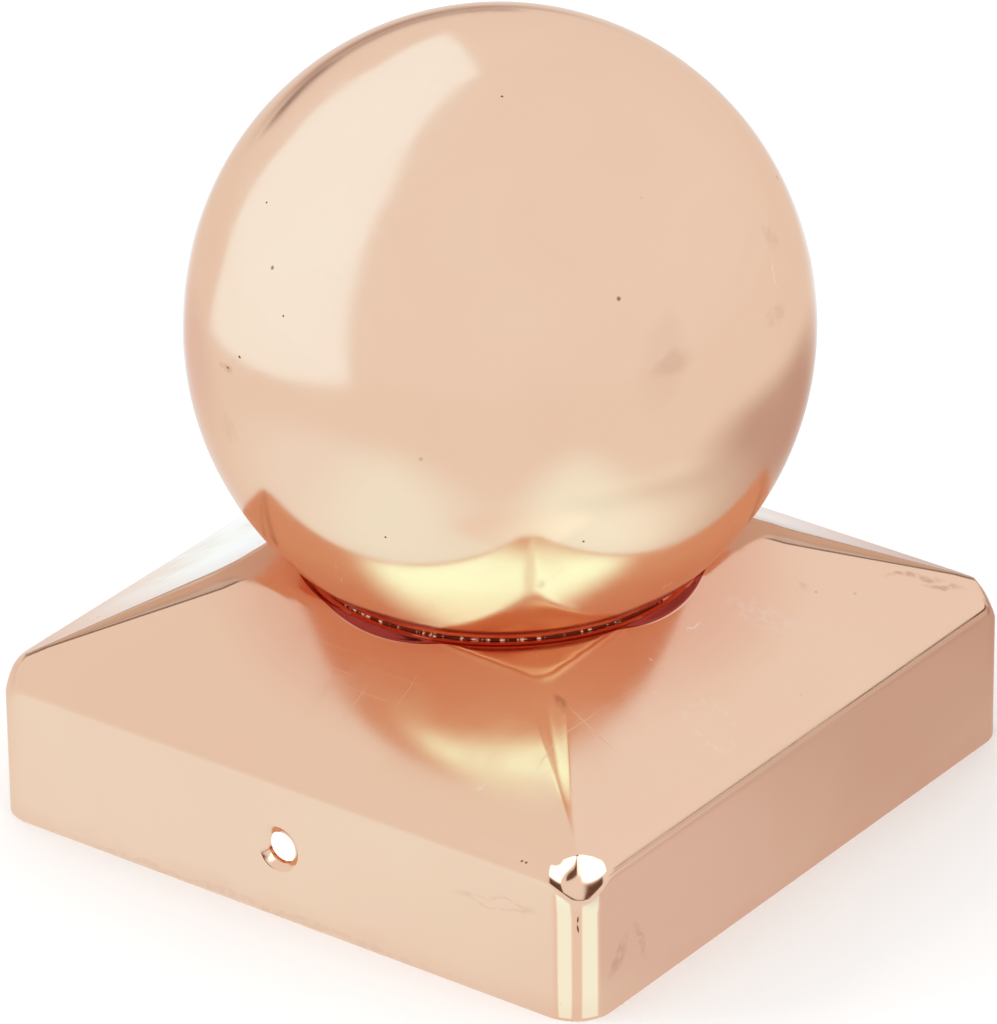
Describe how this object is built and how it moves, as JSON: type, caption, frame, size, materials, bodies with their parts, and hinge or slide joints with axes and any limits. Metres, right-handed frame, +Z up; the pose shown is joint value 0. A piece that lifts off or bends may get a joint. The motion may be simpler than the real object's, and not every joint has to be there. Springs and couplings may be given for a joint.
{
  "type": "post cap",
  "caption": "Square copper post cap with a low hipped roof and a ball finial on its crown; its open skirt slips over the end of a timber post and is nailed through its walls.",
  "frame": {"origin": "centre of the skirt's lower rim, in the plane that the cap stands on", "axes": "+Z up through the ball's top; the walls face -Y, +Y, -X and +X, and the nail holes are in the -Y and +Y walls"},
  "size_m": [0.0724, 0.0724, 0.0809],
  "materials": {
    "copper_cap": "polished copper sheet, bright, with light handling stains",
    "copper_ball": "polished copper, mirror bright with fine scratches"
  },
  "bodies": {
    "root": {"cap": "copper_cap", "ball": "copper_ball"}
  },
  "joints": []
}
